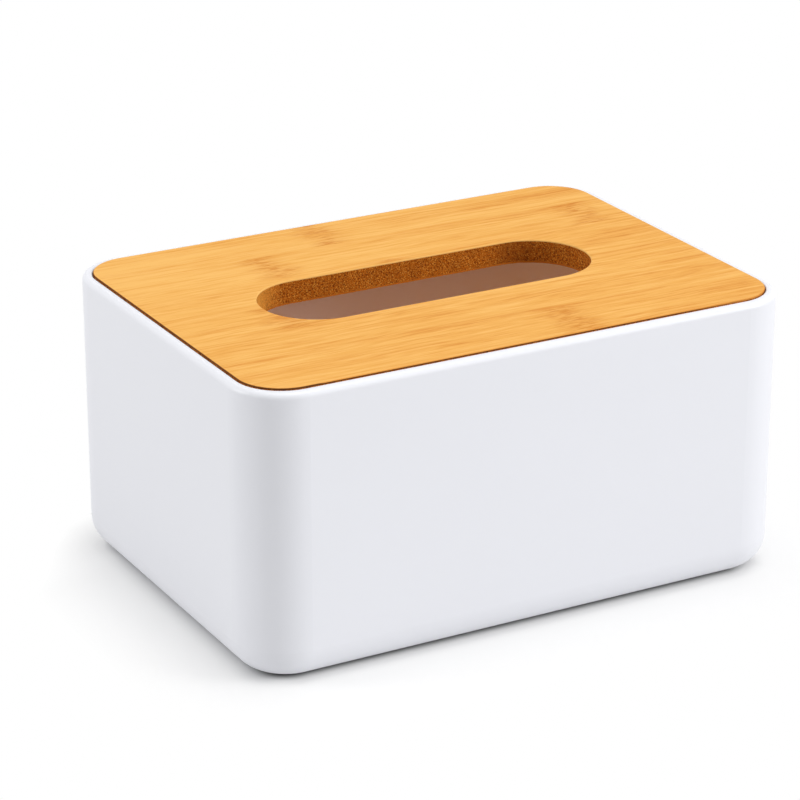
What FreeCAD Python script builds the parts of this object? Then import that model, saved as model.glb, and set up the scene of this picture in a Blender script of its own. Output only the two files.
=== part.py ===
import FreeCAD, Part
import Sketcher
import os
from enum import IntEnum

# Tissue box cover: a moulded open box with a bamboo-faced board lid that drops inside its rim.
# The origin is on the table under the middle of the box, +X runs along the long side and +Z is up.

driving_sizes = [
    ("boxLength", 180.0, "outside length of the box"),
    ("boxWidth", 130.0, "outside width of the box"),
    ("overallHeight", 90.0, "from the table to the top of the lid"),
    ("cornerRadius", 17.0, "outside radius of the upright corners"),
    ("bottomRadius", 10.0, "outside radius along the bottom edge"),
    ("wallThickness", 3.0, "side walls and rim"),
    ("floorThickness", 3.0, "floor of the box"),
    ("rimRounding", 1.8, "outer edge of the rim"),
    ("rimEase", 0.4, "inner edge of the rim"),
    ("ribThickness", 2.2, "seat ribs, across"),
    ("ribDepth", 3.0, "seat ribs, inwards from the wall"),
    ("ribInset", 21.0, "rib centres in from the long sides of the box"),
    ("lidGap", 0.3, "clearance between lid and rim, all round"),
    ("lidProud", 0.5, "lid top above the rim"),
    ("coreThickness", 6.5, "fibreboard of the lid"),
    ("faceThickness", 0.5, "bamboo sheet on top of the lid"),
    ("backThickness", 0.5, "balancing sheet under the lid"),
    ("faceEase", 0.2, "broken upper edge round the lid"),
    ("slotLength", 110.0, "dispensing slot, end to end"),
    ("slotWidth", 36.0, "dispensing slot, across"),
    ("slotRounding", 0.35, "sanded upper edge of the slot"),
    ("padDiameter", 14.0, "anti-slip pads"),
    ("padThickness", 1.6, "anti-slip pads"),
    ("padRecess", 0.8, "depth of the pads' seats in the base"),
    ("padClearance", 0.2, "between a pad's rim and its seat"),
    ("padEase", 0.4, "rounded lower edge of a pad"),
    ("padInset", 28.0, "pad centres in from the outside of the box"),
]

doc = FreeCAD.newDocument("TissueBoxCover")
sheet = doc.addObject("Spreadsheet::Sheet", "Sizes")
for row, (alias, size, meaning) in enumerate(driving_sizes, start=1):
    sheet.set(f"A{row}", meaning)
    sheet.set(f"B{row}", str(size))
    sheet.setAlias(f"B{row}", alias)
doc.recompute()

# Heights that several pieces share, counted from the table.
base_height = "(Sizes.padThickness - Sizes.padRecess)"
floor_height = f"({base_height} + Sizes.floorThickness)"
rim_height = "(Sizes.overallHeight - Sizes.lidProud)"
face_height = "(Sizes.overallHeight - Sizes.faceThickness)"
core_height = f"({face_height} - Sizes.coreThickness)"
seat_height = f"({core_height} - Sizes.backThickness)"

# The opening inside the walls, and the lid that fits it with its gap.
cavity_length = "(Sizes.boxLength - 2 * Sizes.wallThickness)"
cavity_width = "(Sizes.boxWidth - 2 * Sizes.wallThickness)"
cavity_radius = "(Sizes.cornerRadius - Sizes.wallThickness)"
lid_length = f"({cavity_length} - 2 * Sizes.lidGap)"
lid_width = f"({cavity_width} - 2 * Sizes.lidGap)"
lid_radius = f"({cavity_radius} - Sizes.lidGap)"

# Pad centres, measured from the middle of the base.
pad_across_length = "(Sizes.boxLength / 2 - Sizes.padInset)"
pad_across_width = "(Sizes.boxWidth / 2 - Sizes.padInset)"

flat_tolerance = 1e-4

# Places on a sketch element, in the order that sketches count them.
Place = IntEnum("Place", "START END CENTRE")
sketch_origin = (-1, Place.START)


def value(expression):
    return float(sheet.evalExpression(expression))


def new_body(label):
    body = doc.addObject("PartDesign::Body", label)
    body.Label = label
    return body


def origin_plane(body, role):
    return next(plane for plane in body.Origin.OriginFeatures if plane.Role == role)


def level_sketch(body, name, height):
    sketch = body.newObject("Sketcher::SketchObject", name)
    sketch.AttachmentSupport = (origin_plane(body, "XY_Plane"), [""])
    sketch.MapMode = "FlatFace"
    sketch.setExpression("AttachmentOffset.Base.z", height)
    return sketch


def dimension(sketch, name, kind, places, expression):
    index = sketch.addConstraint(Sketcher.Constraint(kind, *places, value(expression)))
    sketch.renameConstraint(index, name)
    sketch.setExpression(f"Constraints.{name}", expression)


def line(sketch, start, end):
    return sketch.addGeometry(Part.LineSegment(FreeCAD.Vector(*start), FreeCAD.Vector(*end)))


def arc(sketch, centre, radius, start_degrees, end_degrees):
    circle = Part.Circle(FreeCAD.Vector(*centre), FreeCAD.Vector(0, 0, 1), radius)
    start = FreeCAD.Units.Quantity(f"{start_degrees} deg").getValueAs("rad").Value
    end = FreeCAD.Units.Quantity(f"{end_degrees} deg").getValueAs("rad").Value
    return sketch.addGeometry(Part.ArcOfCircle(circle, start, end))


def rounded_rectangle(sketch, length, width, radius):
    """Four sides and four corner arcs about the origin, counter-clockwise from the bottom side."""
    round_off = value(radius)
    far_x = value(length) / 2
    far_y = value(width) / 2
    near_x = far_x - round_off
    near_y = far_y - round_off
    bottom = line(sketch, (-near_x, -far_y), (near_x, -far_y))
    corner_1 = arc(sketch, (near_x, -near_y), round_off, 270, 360)
    right = line(sketch, (far_x, -near_y), (far_x, near_y))
    corner_2 = arc(sketch, (near_x, near_y), round_off, 0, 90)
    top = line(sketch, (near_x, far_y), (-near_x, far_y))
    corner_3 = arc(sketch, (-near_x, near_y), round_off, 90, 180)
    left = line(sketch, (-far_x, near_y), (-far_x, -near_y))
    corner_4 = arc(sketch, (-near_x, -near_y), round_off, 180, 270)
    outline = [bottom, corner_1, right, corner_2, top, corner_3, left, corner_4]
    for this, following in zip(outline, outline[1:] + outline[:1]):
        sketch.addConstraint(Sketcher.Constraint("Tangent", this, Place.END, following, Place.START))
    for level in (bottom, top):
        sketch.addConstraint(Sketcher.Constraint("Horizontal", level))
    for upright in (right, left):
        sketch.addConstraint(Sketcher.Constraint("Vertical", upright))
    for other in (corner_2, corner_3, corner_4):
        sketch.addConstraint(Sketcher.Constraint("Equal", corner_1, other))
    opposite_centres = (corner_4, Place.CENTRE, corner_2, Place.CENTRE)
    sketch.addConstraint(Sketcher.Constraint("Symmetric", *opposite_centres, *sketch_origin))
    dimension(sketch, "length", "DistanceX", (left, Place.START, right, Place.START), length)
    dimension(sketch, "width", "DistanceY", (bottom, Place.START, top, Place.START), width)
    dimension(sketch, "radius", "Radius", (corner_1,), radius)


def racetrack(sketch, length, width):
    """Two straight sides joined by half-round ends, about the origin."""
    end_radius = value(width) / 2
    end_x = value(length) / 2 - end_radius
    bottom = line(sketch, (-end_x, -end_radius), (end_x, -end_radius))
    right = arc(sketch, (end_x, 0), end_radius, 270, 450)
    top = line(sketch, (end_x, end_radius), (-end_x, end_radius))
    left = arc(sketch, (-end_x, 0), end_radius, 90, 270)
    outline = [bottom, right, top, left]
    for this, following in zip(outline, outline[1:] + outline[:1]):
        sketch.addConstraint(Sketcher.Constraint("Tangent", this, Place.END, following, Place.START))
    sketch.addConstraint(Sketcher.Constraint("Horizontal", bottom))
    ends = (left, Place.CENTRE, right, Place.CENTRE)
    sketch.addConstraint(Sketcher.Constraint("Symmetric", *ends, *sketch_origin))
    dimension(sketch, "radius", "Radius", (right,), f"{width} / 2")
    dimension(sketch, "centres", "DistanceX", ends, f"{length} - {width}")


def circle(sketch, name, radius, across_length=None, across_width=None):
    """A circle in the first quarter of the sketch, or about its origin where no place is given."""
    place = FreeCAD.Vector(0, 0, 0)
    if across_length:
        place = FreeCAD.Vector(value(across_length), value(across_width), 0)
    ring = sketch.addGeometry(Part.Circle(place, FreeCAD.Vector(0, 0, 1), value(radius)))
    dimension(sketch, name, "Radius", (ring,), radius)
    if across_length:
        dimension(sketch, name + "X", "DistanceX", (*sketch_origin, ring, Place.CENTRE), across_length)
        dimension(sketch, name + "Y", "DistanceY", (*sketch_origin, ring, Place.CENTRE), across_width)
    else:
        sketch.addConstraint(Sketcher.Constraint("Coincident", ring, Place.CENTRE, *sketch_origin))


def quarter_rectangle(sketch, low_x, high_x, low_y, high_y):
    """A rectangle in the first quarter of the sketch, each side held from the origin."""
    left, right, bottom, top = (value(side) for side in (low_x, high_x, low_y, high_y))
    front = line(sketch, (left, bottom), (right, bottom))
    east = line(sketch, (right, bottom), (right, top))
    back = line(sketch, (right, top), (left, top))
    west = line(sketch, (left, top), (left, bottom))
    sides = [front, east, back, west]
    for this, following in zip(sides, sides[1:] + sides[:1]):
        sketch.addConstraint(Sketcher.Constraint("Coincident", this, Place.END, following, Place.START))
    for level in (front, back):
        sketch.addConstraint(Sketcher.Constraint("Horizontal", level))
    for upright in (east, west):
        sketch.addConstraint(Sketcher.Constraint("Vertical", upright))
    dimension(sketch, "lowX", "DistanceX", (*sketch_origin, front, Place.START), low_x)
    dimension(sketch, "highX", "DistanceX", (*sketch_origin, back, Place.START), high_x)
    dimension(sketch, "lowY", "DistanceY", (*sketch_origin, front, Place.START), low_y)
    dimension(sketch, "highY", "DistanceY", (*sketch_origin, back, Place.START), high_y)


def pad(body, name, sketch, length, downwards=False):
    feature = body.newObject("PartDesign::Pad", name)
    feature.Profile = sketch
    feature.setExpression("Length", length)
    feature.Reversed = downwards
    doc.recompute()
    return feature


def pocket(body, name, sketch, depth, upwards=False):
    volume_before = body.Shape.Volume
    feature = body.newObject("PartDesign::Pocket", name)
    feature.Profile = sketch
    feature.setExpression("Length", depth)
    feature.Reversed = upwards
    doc.recompute()
    if feature.Shape.Volume >= volume_before:
        raise RuntimeError(f"{body.Label}: {name} removed nothing")
    return feature


def four_ways(body, name, feature):
    """Repeats a feature of the first quarter in the other three, by mirroring it in both middle planes."""
    mirrors = []
    for role in ("YZ_Plane", "XZ_Plane"):
        mirror = body.newObject("PartDesign::Mirrored", f"{name}_{role}")
        mirror.MirrorPlane = (origin_plane(body, role), [""])
        mirrors.append(mirror)
    pattern = body.newObject("PartDesign::MultiTransform", name)
    pattern.Originals = [feature]
    pattern.Transformations = mirrors
    body.Tip = pattern
    doc.recompute()
    return pattern


def level_face(shape, height):
    flat_faces = [
        face
        for face in shape.Faces
        if face.BoundBox.ZLength < flat_tolerance and abs(face.BoundBox.ZMin - height) < flat_tolerance
    ]
    return max(flat_faces, key=lambda face: face.Area)


def loop_edges(shape, height, outer=True, inner=False):
    """Names of the edges round the level face at a height: its outline, its openings or both."""
    face = level_face(shape, height)
    wanted = []
    for wire in face.Wires:
        is_outline = wire.isSame(face.OuterWire)
        if (outer and is_outline) or (inner and not is_outline):
            wanted.extend(wire.Edges)
    return [
        f"Edge{number}"
        for number, edge in enumerate(shape.Edges, start=1)
        if any(edge.isSame(other) for other in wanted)
    ]


def dress(body, kind, name, size_name, size, height, outer=True, inner=False):
    """A fillet or chamfer round the level face at a height."""
    base = body.Tip
    feature = body.newObject(f"PartDesign::{kind}", name)
    feature.Base = (base, loop_edges(base.Shape, value(height), outer, inner))
    feature.setExpression(size_name, size)
    doc.recompute()
    return feature


def make_box_body():
    body = new_body("box_body")

    outline = level_sketch(body, "box_outline", base_height)
    rounded_rectangle(outline, "Sizes.boxLength", "Sizes.boxWidth", "Sizes.cornerRadius")
    pad(body, "box_block", outline, f"{rim_height} - {base_height}")

    cavity = level_sketch(body, "cavity_outline", rim_height)
    rounded_rectangle(cavity, cavity_length, cavity_width, cavity_radius)
    pocket(body, "cavity", cavity, f"{rim_height} - {floor_height}")
    inside_radius = "Sizes.bottomRadius - Sizes.wallThickness"
    dress(body, "Fillet", "floor_round", "Radius", inside_radius, floor_height)

    # Two upright ribs on each short wall carry the lid on their tops. They are buried half a wall
    # and half a floor deep, so they stay one moulding with what is behind them.
    rib_centre = "Sizes.boxWidth / 2 - Sizes.ribInset"
    rib_outline = level_sketch(body, "rib_outline", seat_height)
    quarter_rectangle(
        rib_outline,
        f"{cavity_length} / 2 - Sizes.ribDepth",
        f"{cavity_length} / 2 + Sizes.wallThickness / 2",
        f"{rib_centre} - Sizes.ribThickness / 2",
        f"{rib_centre} + Sizes.ribThickness / 2",
    )
    rib_height = f"{seat_height} - {floor_height} + Sizes.floorThickness / 2"
    rib = pad(body, "seat_rib", rib_outline, rib_height, downwards=True)
    four_ways(body, "seat_ribs", rib)

    dress(body, "Fillet", "bottom_round", "Radius", "Sizes.bottomRadius", base_height)
    dress(body, "Fillet", "rim_round", "Radius", "Sizes.rimRounding", rim_height)
    dress(body, "Fillet", "rim_ease", "Radius", "Sizes.rimEase", rim_height, outer=False, inner=True)

    seat = level_sketch(body, "pad_seat_outline", base_height)
    seat_radius = "Sizes.padDiameter / 2 + Sizes.padClearance"
    circle(seat, "seat", seat_radius, pad_across_length, pad_across_width)
    seat_cut = pocket(body, "pad_seat", seat, "Sizes.padRecess", upwards=True)
    four_ways(body, "pad_seats", seat_cut)
    return body


def make_lid_layer(label, height, thickness):
    """One sheet of the lid: its outline less the slot, the same for every sheet."""
    body = new_body(label)
    outline = level_sketch(body, f"{label}_outline", height)
    rounded_rectangle(outline, lid_length, lid_width, lid_radius)
    pad(body, f"{label}_sheet", outline, thickness)
    slot = level_sketch(body, f"{label}_slot_outline", f"{height} + {thickness}")
    racetrack(slot, "Sizes.slotLength", "Sizes.slotWidth")
    pocket(body, f"{label}_slot", slot, thickness)
    return body


def make_lid():
    back = make_lid_layer("lid_back_veneer", seat_height, "Sizes.backThickness")
    core = make_lid_layer("lid_core", core_height, "Sizes.coreThickness")
    face = make_lid_layer("lid_face_veneer", face_height, "Sizes.faceThickness")
    top = "Sizes.overallHeight"
    dress(face, "Chamfer", "broken_edge", "Size", "Sizes.faceEase", top)
    dress(face, "Fillet", "slot_edge", "Radius", "Sizes.slotRounding", top, outer=False, inner=True)
    return [back, core, face]


def make_foot_pad(label, side_x, side_y):
    body = new_body(label)
    outline = level_sketch(body, f"{label}_outline", "0")
    circle(outline, "rim", "Sizes.padDiameter / 2")
    pad(body, f"{label}_disc", outline, "Sizes.padThickness")
    dress(body, "Fillet", f"{label}_ease", "Radius", "Sizes.padEase", "0")
    body.setExpression("Placement.Base.x", f"{side_x} * {pad_across_length}")
    body.setExpression("Placement.Base.y", f"{side_y} * {pad_across_width}")
    return body


pieces = [make_box_body()]
pieces += make_lid()
for depth_word, side_y in (("front", -1), ("back", 1)):
    for hand_word, side_x in (("left", -1), ("right", 1)):
        pieces.append(make_foot_pad(f"foot_pad_{depth_word}_{hand_word}", side_x, side_y))
doc.recompute()

for item in doc.Objects:
    if "Invalid" in item.State or "Error" in item.State:
        raise RuntimeError(f"{item.Label} failed: {item.State}")
for piece in pieces:
    if piece.Shape.isNull() or not piece.Shape.isValid() or len(piece.Shape.Solids) != 1:
        raise RuntimeError(f"{piece.Label} is not one sound solid")

os.makedirs("parts", exist_ok=True)
for piece in pieces:
    piece.Shape.exportStep(f"parts/{piece.Label}.step")
    box = piece.Shape.optimalBoundingBox(False)
    print(
        f"{piece.Label}: {piece.Shape.Volume:.1f} mm3,"
        f" x {box.XMin:.2f} to {box.XMax:.2f},"
        f" y {box.YMin:.2f} to {box.YMax:.2f},"
        f" z {box.ZMin:.2f} to {box.ZMax:.2f}"
    )
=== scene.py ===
import bpy
import math
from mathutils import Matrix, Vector


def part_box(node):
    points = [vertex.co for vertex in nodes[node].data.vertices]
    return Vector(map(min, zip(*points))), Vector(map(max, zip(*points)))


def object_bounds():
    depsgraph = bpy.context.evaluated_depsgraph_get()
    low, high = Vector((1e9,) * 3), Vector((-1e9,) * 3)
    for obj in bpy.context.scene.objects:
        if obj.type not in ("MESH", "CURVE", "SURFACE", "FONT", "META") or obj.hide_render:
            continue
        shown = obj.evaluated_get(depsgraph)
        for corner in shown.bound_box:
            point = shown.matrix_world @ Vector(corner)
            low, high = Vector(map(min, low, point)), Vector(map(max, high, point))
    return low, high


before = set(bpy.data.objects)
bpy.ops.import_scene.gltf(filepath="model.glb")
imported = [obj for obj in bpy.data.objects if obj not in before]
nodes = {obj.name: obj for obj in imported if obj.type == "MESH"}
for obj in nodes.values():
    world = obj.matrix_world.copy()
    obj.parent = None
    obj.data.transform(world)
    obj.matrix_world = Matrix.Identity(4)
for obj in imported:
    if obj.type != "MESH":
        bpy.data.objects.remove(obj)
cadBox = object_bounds()
print("frame loaded:", len(nodes), "nodes")


# small helpers for wiring up materials

noiseSpread = (0.3, 0.7)   # most of a noise texture's values lie between these
midValue = 0.5             # the middle of a noise's or a ramp's range


def feed(tree, socket, value):
    if isinstance(value, bpy.types.NodeSocket):
        tree.links.new(value, socket)
    else:
        socket.default_value = value


def calc(tree, operation, first, second=0.0, third=0.0):
    node = tree.nodes.new("ShaderNodeMath")
    node.operation = operation
    for socket, value in zip(node.inputs, (first, second, third)):
        feed(tree, socket, value)
    return node.outputs[0]


def vectorCalc(tree, operation, first, second=(0.0, 0.0, 0.0)):
    node = tree.nodes.new("ShaderNodeVectorMath")
    node.operation = operation
    feed(tree, node.inputs[0], first)
    feed(tree, node.inputs[1], second)
    return node.outputs["Value" if operation == "LENGTH" else "Vector"]


def fade(tree, value, low, high, lowResult=0.0, highResult=1.0):
    # eased step from lowResult to highResult
    node = tree.nodes.new("ShaderNodeMapRange")
    node.interpolation_type = "SMOOTHSTEP"
    feed(tree, node.inputs["Value"], value)
    node.inputs["From Min"].default_value = low
    node.inputs["From Max"].default_value = high
    node.inputs["To Min"].default_value = lowResult
    node.inputs["To Max"].default_value = highResult
    return node.outputs["Result"]


def joinXyz(tree, x, y, z=0.0):
    node = tree.nodes.new("ShaderNodeCombineXYZ")
    for socket, value in zip(node.inputs, (x, y, z)):
        feed(tree, socket, value)
    return node.outputs["Vector"]


def splitXyz(tree, vector):
    node = tree.nodes.new("ShaderNodeSeparateXYZ")
    feed(tree, node.inputs["Vector"], vector)
    return node.outputs["X"], node.outputs["Y"], node.outputs["Z"]


def noise(tree, vector, scale=1.0, detail=2.0, roughness=0.5):
    node = tree.nodes.new("ShaderNodeTexNoise")
    feed(tree, node.inputs["Vector"], vector)
    node.inputs["Scale"].default_value = scale
    node.inputs["Detail"].default_value = detail
    node.inputs["Roughness"].default_value = roughness
    return node.outputs["Fac"]


def ramp(tree, value, stops, interpolation="LINEAR"):
    node = tree.nodes.new("ShaderNodeValToRGB")
    node.color_ramp.interpolation = interpolation
    elements = node.color_ramp.elements
    while len(elements) < len(stops):
        elements.new(1.0)
    for element, (place, colour) in zip(elements, stops):
        element.position = place
        element.color = (*colour, 1.0)
    feed(tree, node.inputs["Fac"], value)
    return node.outputs["Color"]


def mixColours(tree, amount, first, second, mode="MIX"):
    # the Mix node's colour sockets are inputs 6 and 7 and output 2
    node = tree.nodes.new("ShaderNodeMix")
    node.data_type = "RGBA"
    node.blend_type = mode
    feed(tree, node.inputs[0], amount)
    for socket, colour in ((node.inputs[6], first), (node.inputs[7], second)):
        isLinked = isinstance(colour, bpy.types.NodeSocket)
        feed(tree, socket, colour if isLinked else (*colour, 1.0))
    return node.outputs[2]


def bumps(tree, height, distance, strength):
    node = tree.nodes.new("ShaderNodeBump")
    node.inputs["Strength"].default_value = strength
    node.inputs["Distance"].default_value = distance
    feed(tree, node.inputs["Height"], height)
    return node.outputs["Normal"]


def newMaterial(name):
    material = bpy.data.materials.new(name)
    material.use_nodes = True
    tree = material.node_tree
    return material, tree, tree.nodes["Principled BSDF"]


def pieceCoords(tree):
    return tree.nodes.new("ShaderNodeTexCoord").outputs["Object"]


def dressNodes(names, material):
    for name in names:
        for slot in nodes[name].material_slots:
            slot.material = material


# the moulded box: satin white, with a fine spark-eroded skin

boxLow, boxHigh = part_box("box_body")

boxShell = {
    "colour": (0.850, 0.858, 0.904),
    "shadeColour": (0.836, 0.844, 0.890),
    "roughness": (0.36, 0.46),
    "flowMarks": 14.0,                 # slow drift of tone and gloss over the walls, per metre
    "flowDetail": 3.0,
    "skinGrain": 2600.0,               # per metre
    "skinGrit": 0.6,
    "skinDepth": 0.000012,
    "skinStrength": 0.5,
    "wall": 0.003,
    "innerFace": (0.70, 0.95),         # shares of the wall's thickness where its inner face sets in
    "cornerRadius": 0.017,
    "bottomRadius": 0.010,
    "paintedGlow": (0.075, 0.0240, 0.001),    # painted glow: emission on the inner faces, standing in for the little warm light that comes through the thin wall
    "paintedGlowTop": (0.056, 0.086),         # heights between which it dies away below the rim
}


def pastRound(tree, first, second, radius):
    # metres out from a round edge, from the two distances past its centre
    outward = vectorCalc(tree, "MAXIMUM", joinXyz(tree, first, second))
    return calc(tree, "SUBTRACT", vectorCalc(tree, "LENGTH", outward), radius)


def outFromBox(tree, coords):
    # metres out from the box's outline in plan, less than 0 inside it
    radius = boxShell["cornerRadius"]
    x, y = splitXyz(tree, vectorCalc(tree, "ABSOLUTE", coords))[:2]
    alongX = calc(tree, "SUBTRACT", x, boxHigh.x - radius)
    alongY = calc(tree, "SUBTRACT", y, boxHigh.y - radius)
    return pastRound(tree, alongX, alongY, radius)


def insideMask(tree, coords):
    # 1 on the inner walls and floor, 0 on the outside: a wall's thickness in from the outer skin
    radius = boxShell["bottomRadius"]
    height = splitXyz(tree, coords)[2]
    sideways = calc(tree, "ADD", outFromBox(tree, coords), radius)
    downwards = calc(tree, "SUBTRACT", boxLow.z + radius, height)
    outFromSkin = pastRound(tree, sideways, downwards, radius)
    startShare, endShare = boxShell["innerFace"]
    start = startShare * boxShell["wall"]
    end = endShare * boxShell["wall"]
    return fade(tree, outFromSkin, -end, -start, 1.0, 0.0)


def makeWhitePlastic():
    material, tree, shader = newMaterial("white_plastic_moulded")
    coords = pieceCoords(tree)
    flow = noise(tree, coords, boxShell["flowMarks"], boxShell["flowDetail"])
    skin = noise(tree, coords, boxShell["skinGrain"], roughness=boxShell["skinGrit"])
    mottle = mixColours(tree, flow, boxShell["shadeColour"], boxShell["colour"])
    feed(tree, shader.inputs["Base Color"], mottle)
    gloss = fade(tree, flow, *noiseSpread, *boxShell["roughness"])
    feed(tree, shader.inputs["Roughness"], gloss)
    relief = bumps(tree, skin, boxShell["skinDepth"], boxShell["skinStrength"])
    feed(tree, shader.inputs["Normal"], relief)

    # painted glow: the inner faces emit a little warm light, dying away below the rim
    height = splitXyz(tree, coords)[2]
    belowRim = fade(tree, height, *boxShell["paintedGlowTop"], 1.0, 0.0)
    paintedGlow = calc(tree, "MULTIPLY", insideMask(tree, coords), belowRim)
    shader.inputs["Emission Color"].default_value = (*boxShell["paintedGlow"], 1.0)
    feed(tree, shader.inputs["Emission Strength"], paintedGlow)
    return material


dressNodes(["box_body"], makeWhitePlastic())
print("box shell dressed")


# the bamboo sheets: glued strips side by side, with fibre streaks and knuckles

lidLow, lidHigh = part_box("lid_face_veneer")
offLid = 0.119   # a knuckle place past the lid's end: none shows

bambooFace = {
    "light": (0.885, 0.490, 0.135),
    "body": (0.815, 0.402, 0.090),
    "streak": (0.695, 0.278, 0.050),
    "groundStops": (0.37, 0.48, 0.60),     # grain values at which streak, body and light stand
    "knuckle": (0.61, 0.208, 0.024),
    "cutEdge": (0.13, 0.045, 0.010),
    "sandedEdge": (0.92, 0.53, 0.15),
    "roughness": (0.58, 0.72),
    "specular": 0.10,
    "sheenAndShadeTwist": -3.5,                      # painted sheen and shade: the lid turns lighter towards the back left and darker towards the back right

    # fibre sizes: changes per metre along and across the lid, and detail
    "bands": (8.0, 190.0, 2.0),
    "streaks": (34.0, 900.0, 3.0),
    "threads": (120.0, 2600.0, 2.0),
    "dashes": (210.0, 1500.0, 3.0),
    "fibreGrit": 0.55,
    "stripSeed": 7.31,                     # sets the fibres of one strip apart from the next
    "bandShare": 0.31,
    "streakShare": 0.37,
    "threadShare": 0.32,
    "toneShare": 0.25,
    "reliefOfThreads": 0.6,
    "reliefOfStreaks": 0.4,
    "reliefDepth": 0.00006,
    "reliefStrength": 0.6,

    # sideways drift of the fibres and of the knuckles: per metre along and across, detail, metres
    "fibreDrift": (22.0, 60.0, 2.0, 0.0040),
    "knuckleDrift": (60.0, 240.0, 3.0, 0.014),
    "knuckleHalf": 0.010,
    "dashEdge": (0.42, 0.62),
    "dashShare": 0.62,
    "stainShare": 0.16,                    # the knuckle's tone between its dashes
    "knuckleReach": 0.240,                 # range of the knuckle places, centred on the lid
    # one row for each strip, front to back: two knuckle places along the lid, and a tone; the tones
    # rise towards the back, partly strip to strip and partly as painted sheen
    "strips": [
        (0.020, offLid, 0.48),
        (offLid, offLid, 0.45),
        (-0.053, offLid, 0.51),
        (-0.004, offLid, 0.55),
        (-0.037, 0.074, 0.64),
        (-0.010, offLid, 0.67),
    ],

    "edgeTilt": (0.75, 0.97),              # how level a face is where the edge gives way to the top
    "rimBand": (0.020, 0.018),             # metres in from the outline, to tell the rim from the slot
    "scorchAndShadeHeight": (0.00024, 0.00036),    # the saw's scorch and a painted shade fade out up the sheet's edge
    "scorchAndShadeRise": 0.00013,                 # it stands higher at the ends
    "scorchAndShadePlace": (0.045, 0.082),         # and thins out towards the right end
    "scorchAndShadeLeast": 0.12,
}


def stripValues(tree, y, recipe):
    # looks up the row of the strip that a point lies in, with its places stored as 0 to 1
    strips = recipe["strips"]
    fromFront = calc(tree, "SUBTRACT", y, lidLow.y)
    across = calc(tree, "DIVIDE", fromFront, lidHigh.y - lidLow.y)
    stops = []
    for number, (first, second, tone) in enumerate(strips):
        places = [place / recipe["knuckleReach"] + midValue for place in (first, second)]
        stops.append((number / len(strips), (*places, tone)))
    first, second, tone = splitXyz(tree, ramp(tree, across, stops, "CONSTANT"))
    number = calc(tree, "FLOOR", calc(tree, "MULTIPLY", across, len(strips)))
    return first, second, tone, number


def sidewaysDrift(tree, x, y, drift, seed=0.0):
    perX, perY, detail, distance = drift
    alongX = calc(tree, "MULTIPLY", x, perX)
    acrossY = calc(tree, "MULTIPLY", y, perY)
    pattern = noise(tree, joinXyz(tree, alongX, acrossY, seed), detail=detail)
    return calc(tree, "MULTIPLY", calc(tree, "SUBTRACT", pattern, midValue), distance)


def fibres(tree, x, y, seed, size, recipe):
    perX, perY, detail = size
    alongX = calc(tree, "ADD", calc(tree, "MULTIPLY", x, perX), seed)
    acrossY = calc(tree, "MULTIPLY", y, perY)
    return noise(tree, joinXyz(tree, alongX, acrossY, seed), 1.0, detail, recipe["fibreGrit"])


def knuckleBand(tree, x, place, wobble, recipe):
    # how strongly a point belongs to a knuckle, 0 to 1
    centred = calc(tree, "SUBTRACT", place, midValue)
    middle = calc(tree, "MULTIPLY", centred, recipe["knuckleReach"])
    off = calc(tree, "ADD", calc(tree, "SUBTRACT", x, middle), wobble)
    return fade(tree, calc(tree, "ABSOLUTE", off), 0.0, recipe["knuckleHalf"], 1.0, 0.0)


def cutEdgeTone(tree, x, y, z, recipe):
    # scorched by the saw and darkened by painted shade low down round the lid, next to the gap, and
    # sanded in the slot
    farIn, nearIn = recipe["rimBand"]
    absX = calc(tree, "ABSOLUTE", x)
    absY = calc(tree, "ABSOLUTE", y)
    atEnds = fade(tree, absX, lidHigh.x - farIn, lidHigh.x - nearIn)
    atSides = fade(tree, absY, lidHigh.y - farIn, lidHigh.y - nearIn)
    height = calc(tree, "SUBTRACT", z, lidLow.z)
    height = calc(tree, "MULTIPLY_ADD", atEnds, -recipe["scorchAndShadeRise"], height)
    lowDown = fade(tree, height, *recipe["scorchAndShadeHeight"], 1.0, 0.0)
    strength = fade(tree, x, *recipe["scorchAndShadePlace"], 1.0, recipe["scorchAndShadeLeast"])
    # painted shade along the gap, together with the saw's scorch, weaker towards the right end
    scorchAndShade = calc(tree, "MULTIPLY", lowDown, strength)
    sawnAndShaded = mixColours(tree, scorchAndShade, recipe["streak"], recipe["cutEdge"])
    atRim = calc(tree, "MAXIMUM", atEnds, atSides)
    return mixColours(tree, atRim, recipe["sandedEdge"], sawnAndShaded)


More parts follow.
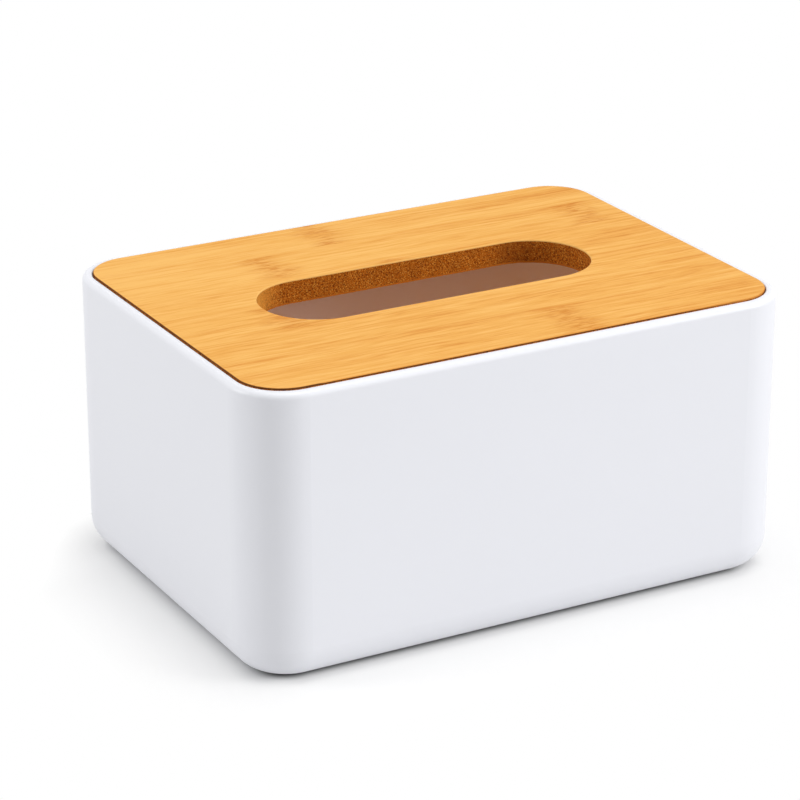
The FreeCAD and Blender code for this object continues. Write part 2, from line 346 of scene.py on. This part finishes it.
def makeBamboo(name, recipe):
    material, tree, shader = newMaterial(name)
    x, y, z = splitXyz(tree, pieceCoords(tree))
    first, second, tone, number = stripValues(tree, y, recipe)

    # fibres wander a little, and differ from strip to strip
    fibreY = calc(tree, "ADD", y, sidewaysDrift(tree, x, y, recipe["fibreDrift"]))
    seed = calc(tree, "MULTIPLY", number, recipe["stripSeed"])
    bands = fibres(tree, x, fibreY, seed, recipe["bands"], recipe)
    streaks = fibres(tree, x, fibreY, seed, recipe["streaks"], recipe)
    threads = fibres(tree, x, fibreY, seed, recipe["threads"], recipe)

    # one grain value, from dark streak to pale ground
    grain = calc(tree, "MULTIPLY", streaks, recipe["streakShare"])
    grain = calc(tree, "MULTIPLY_ADD", bands, recipe["bandShare"], grain)
    grain = calc(tree, "MULTIPLY_ADD", threads, recipe["threadShare"], grain)
    stripTone = calc(tree, "SUBTRACT", tone, midValue)
    grain = calc(tree, "MULTIPLY_ADD", stripTone, recipe["toneShare"], grain)
    # painted sheen and shade: lighter at the lid's back left, darker at its back right, little at the
    # front
    sheenAndShade = calc(tree, "MULTIPLY", x, calc(tree, "SUBTRACT", y, lidLow.y))
    grain = calc(tree, "MULTIPLY_ADD", sheenAndShade, recipe["sheenAndShadeTwist"], grain)
    tones = (recipe["streak"], recipe["body"], recipe["light"])
    ground = ramp(tree, grain, list(zip(recipe["groundStops"], tones)))

    # knuckles: a ragged column of short dark dashes across one strip
    wobble = sidewaysDrift(tree, x, y, recipe["knuckleDrift"], seed)
    bandOne = knuckleBand(tree, x, first, wobble, recipe)
    bandTwo = knuckleBand(tree, x, second, wobble, recipe)
    dashes = fibres(tree, x, fibreY, seed, recipe["dashes"], recipe)
    dashes = fade(tree, dashes, *recipe["dashEdge"])
    dashes = calc(tree, "MULTIPLY_ADD", dashes, recipe["dashShare"], recipe["stainShare"])
    knuckles = calc(tree, "MULTIPLY", calc(tree, "MAXIMUM", bandOne, bandTwo), dashes)
    topTone = mixColours(tree, knuckles, ground, recipe["knuckle"])

    facing = tree.nodes.new("ShaderNodeNewGeometry").outputs["Normal"]
    facingUp = calc(tree, "ABSOLUTE", splitXyz(tree, facing)[2])
    edge = fade(tree, facingUp, *recipe["edgeTilt"], 1.0, 0.0)
    colour = mixColours(tree, edge, topTone, cutEdgeTone(tree, x, y, z, recipe))
    feed(tree, shader.inputs["Base Color"], colour)

    glossy, dull = recipe["roughness"]
    feed(tree, shader.inputs["Roughness"], fade(tree, streaks, *noiseSpread, dull, glossy))
    shader.inputs["Specular IOR Level"].default_value = recipe["specular"]
    height = calc(tree, "MULTIPLY", streaks, recipe["reliefOfStreaks"])
    height = calc(tree, "MULTIPLY_ADD", threads, recipe["reliefOfThreads"], height)
    relief = bumps(tree, height, recipe["reliefDepth"], recipe["reliefStrength"])
    feed(tree, shader.inputs["Normal"], relief)
    return material


dressNodes(["lid_face_veneer"], makeBamboo("bamboo_strips_face", bambooFace))
print("bamboo face dressed")

bambooBack = dict(
    bambooFace,
    light=(0.70, 0.46, 0.20),
    body=(0.62, 0.36, 0.13),
    streak=(0.50, 0.25, 0.075),
    sandedEdge=(0.50, 0.15, 0.015),
    roughness=(0.60, 0.75),
    strips=[
        (0.041, offLid, 0.40),
        (-0.062, offLid, 0.55),
        (0.008, offLid, 0.48),
        (-0.030, 0.080, 0.62),
        (0.055, offLid, 0.50),
        (-0.075, 0.035, 0.58),
    ],
)
dressNodes(["lid_back_veneer"], makeBamboo("bamboo_strips_back", bambooBack))
print("bamboo back dressed")


# the fibreboard: pressed wood dust, bare in the slot and at the edge

boardCore = {
    "dust": (0.49, 0.121, 0.004),
    "fleck": (0.84, 0.380, 0.060),
    "dark": (0.20, 0.043, 0.002),
    "flecks": (2900.0, 3.0, 0.7),        # per metre, detail, grit
    "pitSize": 1827.0,                   # per metre
    "pitGrit": 0.6,
    "fleckEdge": (0.505, 0.625),
    "cloudSize": 260.0,                  # per metre
    "cloudDetail": 3.0,
    "cloudTints": ((0.82, 0.80, 0.78), (1.0, 1.0, 1.0)),
    "roughness": 0.85,
    "specular": 0.1,
    "reliefDepth": 0.0001,
    "reliefStrength": 0.7,
    "slotEnd": (0.060, 0.064),           # the slot's wall lies short of these, the lid's edge beyond
    "slotSide": (0.022, 0.026),
    "paintedLightEnd": (-0.053, -0.038, 0.76),   # painted light: the slot's left end, where the light falls, is paler: from, to, share
    "paintedShadeTurn": (0.041, 0.011, 0.44),     # painted shade: darker round the slot's turn on the right: place, reach, share
}


def slotMask(tree, x, y):
    # 1 on the slot's wall, 0 on the lid's edge
    inLength = fade(tree, calc(tree, "ABSOLUTE", x), *boardCore["slotEnd"], 1.0, 0.0)
    inWidth = fade(tree, calc(tree, "ABSOLUTE", y), *boardCore["slotSide"], 1.0, 0.0)
    return calc(tree, "MULTIPLY", inLength, inWidth)


def makeFibreboard():
    material, tree, shader = newMaterial("fibreboard_sawn")
    coords = pieceCoords(tree)
    x, y = splitXyz(tree, coords)[:2]
    cloud = noise(tree, coords, boardCore["cloudSize"], boardCore["cloudDetail"])
    fleckSize, fleckDetail, fleckGrit = boardCore["flecks"]
    specks = noise(tree, coords, fleckSize, fleckDetail, fleckGrit)
    pits = noise(tree, coords, boardCore["pitSize"], roughness=boardCore["pitGrit"])
    flecked = fade(tree, specks, *boardCore["fleckEdge"])
    pitted = fade(tree, pits, *boardCore["fleckEdge"])
    colour = mixColours(tree, flecked, boardCore["dust"], boardCore["fleck"])
    colour = mixColours(tree, pitted, colour, boardCore["dark"])

    inSlot = slotMask(tree, x, y)
    # painted light on the slot's left end
    paintedLightFrom, paintedLightTo, paintedLightShare = boardCore["paintedLightEnd"]
    paintedLight = calc(tree, "MULTIPLY", inSlot, fade(tree, x, paintedLightFrom, paintedLightTo, paintedLightShare, 0.0))
    colour = mixColours(tree, paintedLight, colour, boardCore["fleck"])
    # painted shade round the slot's turn on the right, where its wall faces away from the light
    turnPlace, turnReach, turnShare = boardCore["paintedShadeTurn"]
    fromTurn = calc(tree, "ABSOLUTE", calc(tree, "SUBTRACT", x, turnPlace))
    paintedShade = calc(tree, "MULTIPLY", inSlot, fade(tree, fromTurn, 0.0, turnReach, turnShare, 0.0))
    colour = mixColours(tree, paintedShade, colour, boardCore["dark"])
    tint = ramp(tree, cloud, list(zip(noiseSpread, boardCore["cloudTints"])))
    colour = mixColours(tree, 1.0, colour, tint, "MULTIPLY")
    feed(tree, shader.inputs["Base Color"], colour)

    shader.inputs["Roughness"].default_value = boardCore["roughness"]
    shader.inputs["Specular IOR Level"].default_value = boardCore["specular"]
    relief = bumps(tree, specks, boardCore["reliefDepth"], boardCore["reliefStrength"])
    feed(tree, shader.inputs["Normal"], relief)
    return material


dressNodes(["lid_core"], makeFibreboard())
print("fibreboard dressed")


# the foot pads: soft grey rubber

footPads = {
    "colour": (0.26, 0.26, 0.265),
    "dusty": (0.36, 0.36, 0.36),
    "dustSize": 420.0,         # per metre
    "dustDetail": 4.0,
    "dustGrit": 0.6,
    "roughness": (0.68, 0.85),
    "grainSize": 3200.0,       # per metre
    "grainDepth": 0.00003,
    "grainStrength": 0.6,
}


def makePadRubber():
    material, tree, shader = newMaterial("pad_rubber_soft")
    coords = pieceCoords(tree)
    dust = noise(tree, coords, footPads["dustSize"], footPads["dustDetail"], footPads["dustGrit"])
    grain = noise(tree, coords, footPads["grainSize"])
    colour = mixColours(tree, dust, footPads["colour"], footPads["dusty"])
    feed(tree, shader.inputs["Base Color"], colour)
    feed(tree, shader.inputs["Roughness"], fade(tree, dust, *noiseSpread, *footPads["roughness"]))
    relief = bumps(tree, grain, footPads["grainDepth"], footPads["grainStrength"])
    feed(tree, shader.inputs["Normal"], relief)
    return material


dressNodes([name for name in nodes if name.startswith("foot_pad")], makePadRubber())
print("foot pads dressed")


# the floor: white card that keeps the shadow, deepened near the box by a painted shadow, and runs out
# to white

studioFloor = {
    "halfSize": 6.0,
    "colour": (0.78, 0.78, 0.78),
    "roughness": 0.95,
    "shadowStart": -0.010,          # metres out from the box's outline, to where its round base stands
    "shadowReach": 0.042,
    # along that reach: place, the card's brightness as seen, a painted shadow darkest where the box
    # meets it, and the share that has run out to white at the long sides and at the ends
    "shadow": [
        (0.00, 0.08, 0.00, 0.00),
        (0.03, 0.25, 0.00, 0.00),
        (0.055, 0.41, 0.05, 0.00),
        (0.08, 0.61, 0.16, 0.00),
        (0.12, 0.85, 0.34, 0.05),
        (0.19, 0.93, 0.50, 0.27),
        (0.23, 0.93, 0.53, 0.33),
        (0.31, 0.93, 0.45, 0.38),
        (0.44, 0.93, 0.48, 0.48),
        (0.81, 0.93, 0.82, 0.88),
        (0.92, 0.93, 0.95, 1.00),
        (1.00, 0.93, 1.00, 1.00),
    ],
    "cornerBlend": 0.006,           # metres each side of a corner's diagonal where sides and ends blend
    "farLeftX": (-0.085, -0.060),   # round the far left corner the shadow runs out sooner
    "farLeftY": (0.025, 0.068),
    "farLeftHaste": 1.2,
    "contactEnd": 0.12,             # place along the reach where the painted dark contact line is over
}


def directView(tree):
    # 1 for rays that show the picture's background, 0 for rays that light the object
    path = tree.nodes.new("ShaderNodeLightPath")
    shiny = calc(tree, "MAXIMUM", path.outputs["Is Glossy Ray"], path.outputs["Is Transmission Ray"])
    return calc(tree, "MAXIMUM", path.outputs["Is Camera Ray"], shiny)


def shadowPlace(tree, coords):
    # place along the shadow's reach, 0 where the box meets the card
    fromBase = calc(tree, "SUBTRACT", outFromBox(tree, coords), studioFloor["shadowStart"])
    place = calc(tree, "DIVIDE", fromBase, studioFloor["shadowReach"])
    x, y = splitXyz(tree, coords)[:2]
    atLeft = fade(tree, x, *studioFloor["farLeftX"], 1.0, 0.0)
    atFarLeft = calc(tree, "MULTIPLY", atLeft, fade(tree, y, *studioFloor["farLeftY"]))
    pastContact = calc(tree, "SUBTRACT", place, studioFloor["contactEnd"])
    pastContact = calc(tree, "MAXIMUM", pastContact, 0.0)
    hurried = calc(tree, "MULTIPLY", atFarLeft, pastContact)
    return calc(tree, "MULTIPLY_ADD", hurried, studioFloor["farLeftHaste"], place)


def makeWhiteCard():
    material, tree, shader = newMaterial("white_card")
    coords = pieceCoords(tree)
    seen = directView(tree)
    rows = [(place, values) for place, *values in studioFloor["shadow"]]
    paintedShadowTone, atSides, atEnds = splitXyz(tree, ramp(tree, shadowPlace(tree, coords), rows))

    fromCorner = vectorCalc(tree, "SUBTRACT", vectorCalc(tree, "ABSOLUTE", coords), boxHigh)
    outX, outY = splitXyz(tree, fromCorner)[:2]
    blendReach = studioFloor["cornerBlend"]
    endSide = fade(tree, calc(tree, "SUBTRACT", outX, outY), -blendReach, blendReach)
    endsOverSides = calc(tree, "SUBTRACT", atEnds, atSides)
    runOut = calc(tree, "MULTIPLY_ADD", endSide, endsOverSides, atSides)

    # camera rays see the painted shadow tone, other rays the card's own colour
    colour = mixColours(tree, seen, studioFloor["colour"], paintedShadowTone)
    feed(tree, shader.inputs["Base Color"], colour)
    shader.inputs["Roughness"].default_value = studioFloor["roughness"]
    shader.inputs["Specular IOR Level"].default_value = 0.0
    white = tree.nodes.new("ShaderNodeEmission")
    white.inputs["Strength"].default_value = 1.0
    blend = tree.nodes.new("ShaderNodeMixShader")
    feed(tree, blend.inputs["Fac"], calc(tree, "MULTIPLY", runOut, seen))
    tree.links.new(shader.outputs["BSDF"], blend.inputs[1])
    tree.links.new(white.outputs["Emission"], blend.inputs[2])
    tree.links.new(blend.outputs["Shader"], tree.nodes["Material Output"].inputs["Surface"])
    return material


def makeFloor():
    half = studioFloor["halfSize"]
    corners = [(-half, -half, 0), (half, -half, 0), (half, half, 0), (-half, half, 0)]
    mesh = bpy.data.meshes.new("studio_floor")
    mesh.from_pydata(corners, [], [(0, 1, 2, 3)])
    mesh.materials.append(makeWhiteCard())
    floor = bpy.data.objects.new("studio_floor", mesh)
    bpy.context.scene.collection.objects.link(floor)


makeFloor()
print("floor laid")


# soft studio light: a white room, two side softboxes and two overhead

room = {
    "colour": (1.0, 1.0, 1.0),
    "strength": 0.39,
    "seenStrength": 1.0,   # plain white behind the object
}

softboxes = {
    "right": {"azimuth": 47, "elevation": 20, "distance": 2.4, "size": 0.8, "power": 24.2},
    "left": {"azimuth": -115, "elevation": 22, "distance": 1.5, "size": 0.6, "power": 7.3},
    "front": {"azimuth": 32, "elevation": 72, "distance": 1.2, "size": 0.8, "power": 4.2},
    "top": {"azimuth": 100, "elevation": 86, "distance": 1.2, "size": 0.8, "power": 3.2},
}


def aroundObject(place, middle):
    turn = math.radians(place["azimuth"])
    rise = math.radians(place["elevation"])
    level = place["distance"] * math.cos(rise)
    height = place["distance"] * math.sin(rise)
    return middle + Vector((level * math.sin(turn), -level * math.cos(turn), height))


def lookAt(thing, target):
    thing.rotation_euler = (target - thing.location).to_track_quat("-Z", "Y").to_euler()


def makeRoom():
    world = bpy.data.worlds.new("white_room")
    bpy.context.scene.world = world
    world.use_nodes = True
    tree = world.node_tree
    background = tree.nodes["Background"]
    background.inputs["Color"].default_value = (*room["colour"], 1.0)
    strength = fade(tree, directView(tree), 0.0, 1.0, room["strength"], room["seenStrength"])
    feed(tree, background.inputs["Strength"], strength)


def makeSoftboxes():
    middle = Vector((0.0, 0.0, cadBox[1][2] / 2))
    for name, box in softboxes.items():
        data = bpy.data.lights.new(f"softbox_{name}", "AREA")
        data.shape = "SQUARE"
        data.size = box["size"]
        data.energy = box["power"]
        lamp = bpy.data.objects.new(f"softbox_{name}", data)
        lamp.location = aroundObject(box, middle)
        lookAt(lamp, middle)
        bpy.context.scene.collection.objects.link(lamp)


makeRoom()
makeSoftboxes()
print("lights set")


# the camera: a long lens, a little above the box and to its left

view = {
    "azimuth": -29.38,
    "elevation": 21.62,
    "distance": 0.9626,
    "pivot": (0.0, 0.0, 0.05),
    "aim": (-0.0069, 0.0041, 0.0505),
    "lens": 142.0,          # millimetres, like the sensor's width
    "sensorWidth": 36.0,
    "clipStart": 0.01,
}


def makeCamera():
    data = bpy.data.cameras.new("camera")
    data.lens = view["lens"]
    data.sensor_width = view["sensorWidth"]
    data.clip_start = view["clipStart"]
    camera = bpy.data.objects.new("camera", data)
    camera.location = aroundObject(view, Vector(view["pivot"]))
    lookAt(camera, Vector(view["aim"]))
    bpy.context.scene.collection.objects.link(camera)
    bpy.context.scene.camera = camera


makeCamera()
bpy.context.scene.view_settings.view_transform = "Standard"
print("camera placed")
